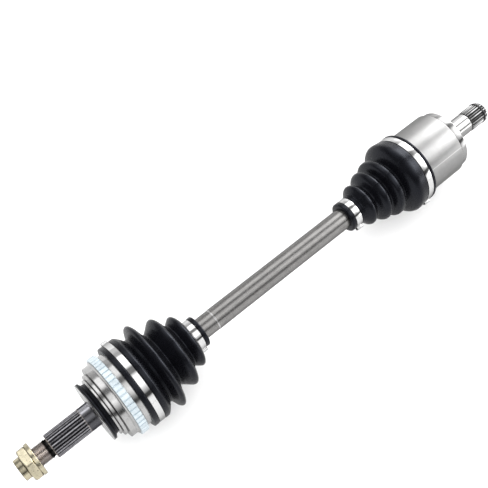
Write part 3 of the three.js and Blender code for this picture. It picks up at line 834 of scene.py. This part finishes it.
outer_small_cuff = eased(
    [
        (87.0, SMALL_SEAT_R), (94.1, SMALL_SEAT_R), (94.7, 18.4), (98.6, 18.6), (99.5, 17.6),
    ],
    0.6,
)
outer_boot = Boot(
    "outer_boot",
    OUTER_JOINT_X,
    1,
    outer_cuff + outer_bellows + outer_small_cuff,
    wide_bore=BELL_R + 0.12,
    wide_end=21.6,
    narrow_bore=SHAFT_SEAT_R + 0.12,
    narrow_start=86,
)
outer_boot.rigid("outer_boot_cuff_large", 0.2, 20, "wheel_stub")
outer_boot.bending("outer_boot_fold_1", 20, 33)
outer_boot.bending("outer_boot_fold_2", 33, 53)
outer_boot.bending("outer_boot_fold_3", 53, 72)
outer_boot.bending("outer_boot_fold_4", 72, 87)
outer_boot.rigid("outer_boot_cuff_small", 87, 99.5, "shaft")

inner_cuff = eased(
    [
        (8.6, housing_r + 3.2), (9.3, housing_r + 5.0), (12.1, housing_r + 5.0),
        (12.9, INNER_SEAT_R), (20.9, INNER_SEAT_R), (21.6, housing_r + 4.3),
    ],
    0.6,
)
inner_bellows = smooth_line(
    [
        (22.4, 45.2), (26.6, 45.8), (31.3, 46.4), (34.6, 46.0), (37.8, 43.6), (40.8, 38.8),
        (43.2, 33.6), (45, 30.6), (46.6, 30.9), (48.6, 34.2), (50.6, 36.2), (53, 37.0), (56, 36.9),
        (58, 35.8), (59.8, 32.4), (61.5, 27.6), (63.2, 26.2), (65.2, 28.2), (68, 31.4), (71, 32.4),
        (73.8, 31.5), (76.3, 28.8), (78.8, 23.6), (80.8, 21.4), (82.6, 22.0), (85, 24.3),
        (87.6, 26), (90, 26.5), (92.2, 25.6), (94.2, 23.3), (96.2, 20.9), (97.2, 19.7), (98, 19.9),
        (99.4, 19.0),
    ],
    6,
)
inner_small_cuff = eased(
    [
        (100.4, 18.6), (101.8, 18.4), (102.5, INNER_SMALL_SEAT_R), (111.5, INNER_SMALL_SEAT_R),
        (112.3, 18.5), (116.4, 18.5), (117.3, 17.3),
    ],
    0.6,
)
inner_boot = Boot(
    "inner_boot",
    INNER_JOINT_X,
    -1,
    inner_cuff + inner_bellows + inner_small_cuff,
    wide_bore=housing_r + 0.12,
    wide_end=31.4,
    narrow_bore=SHAFT_R + 0.12,
    narrow_start=97,
)
inner_boot.rigid("inner_boot_cuff_large", 8.6, 20, "housing")
inner_boot.bending("inner_boot_fold_1", 20, 48)
inner_boot.bending("inner_boot_fold_2", 48, 66)
inner_boot.bending("inner_boot_fold_3", 66, 84)
inner_boot.rigid("inner_boot_cuff_small", 84, 117.3, "shaft")


# ---- clamps
EAR_HALF_WIDTH = 5.2
BAND_STEP = 2.5  # degrees between points of a band's path


def rounded_section(start, end, low, high, ease):
    """Rounded rectangle of (x, height) points, in order."""
    corners = [(start, low), (end, low), (end, high), (start, high)]
    return eased_loop(corners, ease, 3)


def ear_outline(height):
    """Outline across a crimped ear: distance along the band and height above it."""
    neck = 0.32 * height
    side = 0.72 * height
    top = 0.96 * height
    half = [(EAR_HALF_WIDTH, 0), (3.6, 0.05), (2.5, 0.35), (2.05, neck), (2.35, side), (1.6, top)]
    return smooth_line([*[(-t, h) for t, h in half], (0, height), *half[::-1]], 4)


def clamp(node, seat_r, thickness, ear_angle, ear_height):
    """A flat band whose path rises over a crimped ear."""
    start, end, _ = span(node)
    centre_r = seat_r + 0.1
    half_angle = math.degrees(EAR_HALF_WIDTH / centre_r)
    over_ear = [(math.degrees(t / centre_r), h) for t, h in ear_outline(ear_height)]
    rest = [(turn, 0) for turn in np.arange(half_angle + BAND_STEP, 360 - half_angle - 1, BAND_STEP)]
    path = []
    for turn, height in over_ear + rest:
        angle = math.radians(ear_angle + turn)
        path.append(((centre_r + height) * math.cos(angle), (centre_r + height) * math.sin(angle)))
    section = rounded_section(start, end, 0.0, thickness, 0.22)
    stands_for(swept(f"{node}_band", path, section, CLAMP, closed=True), node)


clamp("outer_boot_clamp_large", CUFF_SEAT_R, 1.1, EAR_ANGLE + 180, 3.2)
clamp("outer_boot_clamp_small", SMALL_SEAT_R, 0.8, EAR_ANGLE, 4.0)
clamp("inner_boot_clamp_small", INNER_SMALL_SEAT_R, 0.8, EAR_ANGLE, 3.6)
clamp("inner_boot_clamp_large", INNER_SEAT_R, 1.0, EAR_ANGLE, 3.0)


# ---- shaft
RACE_HALF_WIDTH = 11
SPIDER_HALF_WIDTH = 12
SHAFT_SPLINE_R = 13
SHAFT_SPLINE_TEETH = 24
SHAFT_NECK_R = 11.6
SEAT_START_X = OUTER_JOINT_X + 76  # the two boots' seats and the bar between them
SEAT_END_X = INNER_JOINT_X - 99
shaft_start, shaft_end, _ = span("shaft")
race_out = OUTER_JOINT_X - RACE_HALF_WIDTH
race_in = OUTER_JOINT_X + RACE_HALF_WIDTH
spider_out = INNER_JOINT_X - SPIDER_HALF_WIDTH
spider_in = INNER_JOINT_X + SPIDER_HALF_WIDTH
SHAFT_BAR = eased(
    [
        (race_in + 0.3, SHAFT_SPLINE_R + 1), (race_in + 2, SHAFT_SPLINE_R + 1),
        (race_in + 5, SHAFT_NECK_R), (SEAT_START_X - 6, SHAFT_NECK_R), (SEAT_START_X, SHAFT_SEAT_R),
        (STEP_X, SHAFT_SEAT_R), (STEP_X + 0.3, SHAFT_R), (SEAT_END_X, SHAFT_R),
        (SEAT_END_X + 4, SHAFT_NECK_R), (spider_out - 6, SHAFT_NECK_R),
        (spider_out - 3, SHAFT_SPLINE_R + 1), (spider_out - 0.3, SHAFT_SPLINE_R + 1),
    ],
    0.8,
)


def shaft_outline(angle):
    """The bar, its boot seats and a splined seat with a circlip groove at each end."""
    race_tooth = SHAFT_SPLINE_R - SPLINE_DEPTH * (1 - tooth_height(angle, SHAFT_SPLINE_TEETH))
    spider_tooth = race_tooth - SHAFT_SPLINE_R + SHAFT_R
    return [
        (shaft_start, 10.8), (shaft_start + 1, min(race_tooth, SHAFT_SPLINE_R - 0.2)),
        (shaft_start + 2, race_tooth), (shaft_start + 2, SHAFT_NECK_R),
        (shaft_start + 3.8, SHAFT_NECK_R), (shaft_start + 3.8, race_tooth),
        (race_in + 0.3, race_tooth), *SHAFT_BAR, (spider_out - 0.3, spider_tooth),
        (spider_in + 0.2, spider_tooth), (spider_in + 0.2, 11.2), (spider_in + 2, 11.2),
        (spider_in + 2, spider_tooth), (spider_in + 4, spider_tooth), (shaft_end, 10.8),
    ]


shaft_angles = toothed_angles(SHAFT_SPLINE_TEETH, TOOTH_SHARES)
shaft = turned("shaft_bar", shaft_outline, BAR, shaft_angles)
stands_for(shaft, "shaft")


# ---- inner housing with its stub
CAVITY_END_X = INNER_JOINT_X + 35
TRUNNION_ANGLES = (90, 210, 330)
LOBE_CIRCLE_R = 24
TRACK_R = 17.2
LOBE_R = 35
HOUSING_BORE_R = 22.5
STEP_R = 37.9
JOURNAL_R = 12.85
INNER_SPLINE_TEETH = 25
CLIP_GROOVE_X = housing_tip - 9.1
CLIP_GROOVE_END_X = CLIP_GROOVE_X + 2
CLIP_GROOVE_R = INNER_SPLINE_R - 1.9


def track_r(x, angle):
    """Radius of the three-lobed cavity that the rollers run in."""
    off = math.radians((angle - TRUNNION_ANGLES[0] + 60) % 120 - 60)
    flare = 31.3 - (x - housing_start + 1) * 0.396
    across = LOBE_CIRCLE_R * math.sin(off)
    lobe = 0.0
    if abs(across) < TRACK_R:
        lobe = LOBE_CIRCLE_R * math.cos(off) + math.sqrt(TRACK_R**2 - across**2)
    return max(min(lobe, LOBE_R), HOUSING_BORE_R, flare)


BARREL_OUTLINE = eased(
    [
        (housing_start, housing_r - 2.4), (housing_start, housing_r - 1.2),
        (housing_start + 1.2, housing_r), (BARREL_END_X - 1, housing_r),
        (BARREL_END_X, housing_r - 1), (BARREL_END_X, STEP_R - 0.7),
        (BARREL_END_X + 0.7, STEP_R - 0.7), (BARREL_END_X + 1.2, STEP_R),
        (HOUSING_FACE_X - 0.8, STEP_R), (HOUSING_FACE_X, STEP_R - 0.8),
        (HOUSING_FACE_X, STEP_R - 6), (HOUSING_FACE_X - 0.7, STEP_R - 7),
        (HOUSING_FACE_X - 0.7, 21), (HOUSING_FACE_X, 19.6), (HOUSING_FACE_X, JOURNAL_R + 1.6),
        (HOUSING_FACE_X + 1.6, JOURNAL_R), (JOURNAL_END_X - 0.8, JOURNAL_R),
        (JOURNAL_END_X, JOURNAL_R - 1),
    ],
    0.5,
)


def housing_outline(angle):
    """The cavity with its three tracks, the barrel, the stepped end, the journal and the spline."""
    line = []
    for x in [CAVITY_END_X, *np.arange(CAVITY_END_X - 6, housing_start + 30, -8)]:
        line.append((x, track_r(x, angle)))
    for x in np.arange(housing_start + 24, housing_start - 0.1, -3):
        line.append((x, track_r(x, angle)))
    line += BARREL_OUTLINE
    root = INNER_SPLINE_R - SPLINE_DEPTH
    tooth = root + SPLINE_DEPTH * tooth_height(angle, INNER_SPLINE_TEETH)
    for share in (0, 0.35, 0.7, 1):
        line.append((JOURNAL_END_X + 2.4 * share, root + (tooth - root) * share))
    line += [
        (housing_tip - 20.4, tooth),  # keeps the shading of the run-out off the teeth
        (CLIP_GROOVE_X - 0.3, tooth), (CLIP_GROOVE_X, min(tooth, INNER_SPLINE_R - 0.3)),
        (CLIP_GROOVE_X, CLIP_GROOVE_R), (CLIP_GROOVE_END_X, CLIP_GROOVE_R),
        (CLIP_GROOVE_END_X, min(tooth, INNER_SPLINE_R - 0.3)), (CLIP_GROOVE_END_X + 0.3, tooth),
        (housing_tip - 3.6, tooth), (housing_tip - 2.4, min(tooth, root + 0.1)), (housing_tip, 9.4),
        (housing_tip, 2.6), (housing_tip - 0.4, 2.3), (housing_tip - 3, 0.5),
    ]
    return line


housing_angles = toothed_angles(INNER_SPLINE_TEETH, TOOTH_SHARES)
housing = turned("inner_housing_forging", housing_outline, HOUSING, housing_angles, sharp_angle=28)
stands_for(housing, "inner_housing")


def spring_ring(node, inner_r, gap_angle, gap):
    """A flat spring ring with a gap centred on gap_angle."""
    start, end, outer_r = span(node)
    middle_r = (inner_r + outer_r) / 2
    half_gap = math.degrees(gap / 2 / middle_r)
    path = []
    for share in np.linspace(0, 1, 97):
        turn = math.radians(gap_angle + half_gap + share * (360 - 2 * half_gap))
        path.append((middle_r * math.cos(turn), middle_r * math.sin(turn)))
    half = outer_r - middle_r
    section = rounded_section(start, end, -half, half, 0.15)
    stands_for(swept(f"{node}_ring", path, section, SPRING, closed=False), node)


spring_ring("stub_circlip", INNER_SPLINE_R - 1.6, 290, 5)
spring_ring("race_circlip", SHAFT_NECK_R + 0.3, 250, 4)
spring_ring("spider_circlip", SHAFT_NECK_R + 0.3, 250, 4)


# ---- ball joint internals
BALL_R = 8.5
CAGE_OUTER_R = 33.5
CAGE_INNER_R = 28.5
CAGE_HALF_WIDTH = 14
INNER_RACE_BORE_R = 13.3
WINDOW_LENGTH = 20.4


def inner_race_outline(angle):
    """The race's sphere with six ball grooves, round its bore."""
    line = [(race_out, INNER_RACE_BORE_R + 0.6), (race_out, 20)]
    for dx in np.linspace(-RACE_HALF_WIDTH, RACE_HALF_WIDTH, 19):
        sphere = math.sqrt((CAGE_INNER_R - 0.3) ** 2 - dx**2)
        line.append((OUTER_JOINT_X + dx, min(sphere, groove_sides(dx, angle)[0])))
    line += [(race_in, 20), (race_in, INNER_RACE_BORE_R + 0.6)]
    line += [(race_in - 0.6, INNER_RACE_BORE_R), (race_out + 0.6, INNER_RACE_BORE_R)]
    return line


race_steps = even_angles(FINE_ROUND)
inner_race = turned("inner_race_ground", inner_race_outline, BEARING, race_steps, hollow=True)
stands_for(inner_race, "inner_race")

cage = turned(
    "ball_cage_ground",
    arc(OUTER_JOINT_X, CAGE_OUTER_R, -CAGE_HALF_WIDTH, CAGE_HALF_WIDTH, 24)
    + arc(OUTER_JOINT_X, CAGE_INNER_R, CAGE_HALF_WIDTH, -CAGE_HALF_WIDTH, 24),
    BEARING,
    hollow=True,
)


def window_cutter(angle):
    """Rounded bar through two opposite windows of the cage."""
    half_x = BALL_R + 0.3
    half_t = WINDOW_LENGTH / 2
    corners = [(-half_x, -half_t), (half_x, -half_t), (half_x, half_t), (-half_x, half_t)]
    rim = eased_loop(corners, 3.0, 5)
    points = [(x, t, height) for height in (-40, 40) for x, t in rim]
    faces = grid_faces(2, len(rim), False, True)
    faces += [tuple(range(len(rim))), tuple(range(len(rim), 2 * len(rim)))]
    cutter = make_piece("window", points, faces, BEARING)
    shift = Matrix.Translation((OUTER_JOINT_X * MM, 0, 0))
    return moved(cutter, shift @ Matrix.Rotation(math.radians(angle), 4, "X"))


cage = combined(cage, [window_cutter(360 / BALLS * i) for i in range(BALLS // 2)], "DIFFERENCE")
stands_for(cage, "ball_cage")

for i in range(BALLS):
    angle = math.radians(360 / BALLS * i)
    half_circle = arc(0, BALL_R, -BALL_R, BALL_R, 24)
    ball = turned(f"ball_{i + 1}_polished", half_circle, BALL, even_angles(SMALL_ROUND))
    place = Vector((OUTER_JOINT_X, BALL_CIRCLE_R * math.sin(angle), BALL_CIRCLE_R * math.cos(angle)))
    moved(ball, Matrix.Translation(place * MM))
    stands_for(ball, f"ball_{i + 1}")


# ---- tripod
TRUNNION_R = 9.5
ROLLER_R = 16
ROLLER_BORE_R = 12.2
ROLLER_HALF_WIDTH = 5.4
HUB_R = 17.5
NEEDLES = 30
NEEDLE_R = 1.02
roller_in = LOBE_CIRCLE_R - ROLLER_HALF_WIDTH
roller_out = LOBE_CIRCLE_R + ROLLER_HALF_WIDTH


def on_trunnion(piece, angle):
    """Turns a form that stands along X from the origin onto the trunnion at this angle."""
    place = Matrix.Translation((INNER_JOINT_X * MM, 0, 0))
    turn = Matrix.Rotation(math.radians(angle), 4, "X") @ Matrix.Rotation(math.radians(90), 4, "Z")
    return moved(piece, place @ turn)


TRUNNION_OUTLINE = eased(
    [
        (14.5, TRUNNION_R), (roller_out + 0.4, TRUNNION_R), (roller_out + 0.4, TRUNNION_R - 1.1),
        (roller_out + 2, TRUNNION_R - 1.1), (roller_out + 2, TRUNNION_R),
        (roller_out + 2.6, TRUNNION_R), (roller_out + 3.1, TRUNNION_R - 0.5),
    ],
    0.2,
)
HUB_OUTLINE = eased_loop(
    [
        (spider_out, SHAFT_R + 0.3), (spider_out, HUB_R), (spider_in, HUB_R),
        (spider_in, SHAFT_R + 0.3),
    ],
    0.9,
)
spider = turned("tripod_spider_forging", HUB_OUTLINE, BEARING, hollow=True)
trunnions = [
    on_trunnion(turned("trunnion", TRUNNION_OUTLINE, BEARING, even_angles(SMALL_ROUND)), angle)
    for angle in TRUNNION_ANGLES
]
stands_for(combined(spider, trunnions, "UNION"), "tripod_spider")

ROLLER_OUTLINE = eased_loop(
    [
        (roller_in, ROLLER_BORE_R),
        *arc(LOBE_CIRCLE_R, ROLLER_R, -ROLLER_HALF_WIDTH, ROLLER_HALF_WIDTH, 12),
        (roller_out, ROLLER_BORE_R),
    ],
    0.4,
)
RETAINER_OUTLINE = eased_loop(
    [
        (roller_out + 0.7, TRUNNION_R - 0.8), (roller_out + 0.7, ROLLER_BORE_R + 0.6),
        (roller_out + 1.7, ROLLER_BORE_R + 0.6), (roller_out + 1.7, TRUNNION_R - 0.8),
    ],
    0.2,
)
NEEDLE_OUTLINE = eased(
    [
        (roller_in + 0.1, NEEDLE_R - 0.4), (roller_in + 0.5, NEEDLE_R),
        (roller_out - 0.5, NEEDLE_R), (roller_out - 0.1, NEEDLE_R - 0.4),
    ],
    0.2,
    2,
)


def needle_set(name):
    """A ring of needles between the trunnion and the roller."""
    circle_r = (TRUNNION_R + ROLLER_BORE_R) / 2
    needles = []
    for angle in even_angles(NEEDLES):
        needle = turned("needle", NEEDLE_OUTLINE, BALL, even_angles(12))
        turn = math.radians(angle)
        place = Vector((0, circle_r * math.cos(turn), circle_r * math.sin(turn)))
        needles.append(moved(needle, Matrix.Translation(place * MM)))
    return joined(name, needles)


for i, angle in enumerate(TRUNNION_ANGLES, 1):
    roller = turned(f"roller_{i}_ground", ROLLER_OUTLINE, BEARING, hollow=True)
    stands_for(on_trunnion(roller, angle), f"roller_{i}")
    stands_for(on_trunnion(needle_set(f"needle_set_{i}_ring"), angle), f"needle_set_{i}")
    retainer = turned(f"roller_retainer_{i}_ring", RETAINER_OUTLINE, SPRING, hollow=True)
    stands_for(on_trunnion(retainer, angle), f"roller_retainer_{i}")


# ---- studio
LIGHT_BANDS = (  # what the metal mirrors: degrees round the axle from +Y towards +Z, and brightness
    (-180, 0.3), (-90, 0.5), (0, 0.65), (14, 0.62), (22, 0.45), (31, 0.45), (38, 1.6), (66, 1.6),
    (71, 1.1), (77, 0.22), (90, 0.22), (98, 1.2), (118, 1.55), (126, 1.3), (137, 0.7), (146, 0.3),
    (149, 0.05), (158, 0.05), (163, 0.85), (168, 1.0), (180, 1.05),
)
LIGHT_ALONG = (  # the same along the axle: X of the direction it comes from, and brightness
    (-1, 0.15), (-0.75, 0.2), (-0.3, 0.55), (0, 1.0), (0.42, 1.0), (0.6, 2.4), (0.8, 5.5),
    (0.95, 6.5), (1, 2.4),
)
AMBIENT = 1.8


def studio_world():
    """A light tent of bright panels and dark gaps that run along the axle, darker towards the wheel side.
    Only reflections see the panels; everything else is lit by a plain pale backdrop."""
    world = bpy.data.worlds.new("studio")
    bpy.context.scene.world = world
    world.use_nodes = True
    tent = Nodes(world.node_tree)
    x, y, z = tent.split(tent.add("ShaderNodeTexCoord").outputs["Generated"])
    turn = tent.times(tent.math("ARCTAN2", z, y), 180 / math.pi)
    across = tent.levels(turn, LIGHT_BANDS, 2.0)
    along = tent.levels(x, LIGHT_ALONG, 8.0)
    panels = tent.made("ShaderNodeBackground", {"Color": tent.product(across, along)})
    plain = tent.made("ShaderNodeBackground", {"Color": grey(1.0), "Strength": AMBIENT})
    mirrored = tent.add("ShaderNodeLightPath").outputs["Is Glossy Ray"]
    choice = tent.made("ShaderNodeMixShader", {0: mirrored, 1: plain, 2: panels})
    output = tent.add("ShaderNodeOutputWorld")
    tent.feed(output.inputs["Surface"], choice)


studio_world()

MIDDLE_X = (cad_low.x + cad_high.x) / 2
FLOOR_REACH = 6.0
FLOOR_DROP = 0.006  # the stub swings a little below the widest boot fold when the outer joint bends down
floor_mesh = bpy.data.meshes.new("floor")
corners = [(x * FLOOR_REACH, y * FLOOR_REACH, 0) for x, y in ((-1, -1), (1, -1), (1, 1), (-1, 1))]
floor_mesh.from_pydata(corners, [], [(0, 1, 2, 3)])
floor = new_object("floor", floor_mesh)
floor.location = (MIDDLE_X, 0, cad_low.z - FLOOR_DROP)
paper = Look("studio_paper")
mottle = paper.step(paper.noise(0.004, 2.0), 0.3, 0.7, 0.985, 1.0)
mirrored = paper.add("ShaderNodeLightPath").outputs["Is Glossy Ray"]  # the metal sees a duller table
tone_of_paper = paper.mix(mirrored, grey(0.93), grey(0.50))
floor_mesh.materials.append(paper.finish(Base_Color=paper.scaled(tone_of_paper, mottle), Roughness=0.9))

SUN_TILT = math.radians(-28)  # from overhead, about X and then about Y
SUN_LEAN = math.radians(-12)
sun_light = bpy.data.lights.new("key", "SUN")
sun_light.energy = 0.8
sun_light.angle = math.radians(30)
key = new_object("key", sun_light)
key.rotation_euler = (SUN_TILT, SUN_LEAN, 0)
key.visible_glossy = False



# ---- camera
CAMERA_AZIMUTH = math.radians(-40.8)
CAMERA_ELEVATION = math.radians(61.3)
CAMERA_DISTANCE = 0.9444
LENS_MM = 61.15
SENSOR_MM = 36
AIM = Vector((MIDDLE_X - 0.0063, 0.0491, 0.0))
back = Vector(
    (
        math.sin(CAMERA_AZIMUTH) * math.cos(CAMERA_ELEVATION),
        -math.cos(CAMERA_AZIMUTH) * math.cos(CAMERA_ELEVATION),
        math.sin(CAMERA_ELEVATION),
    )
)
lens = bpy.data.cameras.new("camera")
lens.sensor_width = SENSOR_MM
lens.lens = LENS_MM
camera = new_object("camera", lens)
camera.location = AIM + back * CAMERA_DISTANCE
camera.rotation_euler = (-back).to_track_quat("-Z", "Y").to_euler()
bpy.context.scene.camera = camera
bpy.context.scene.view_settings.view_transform = "Standard"
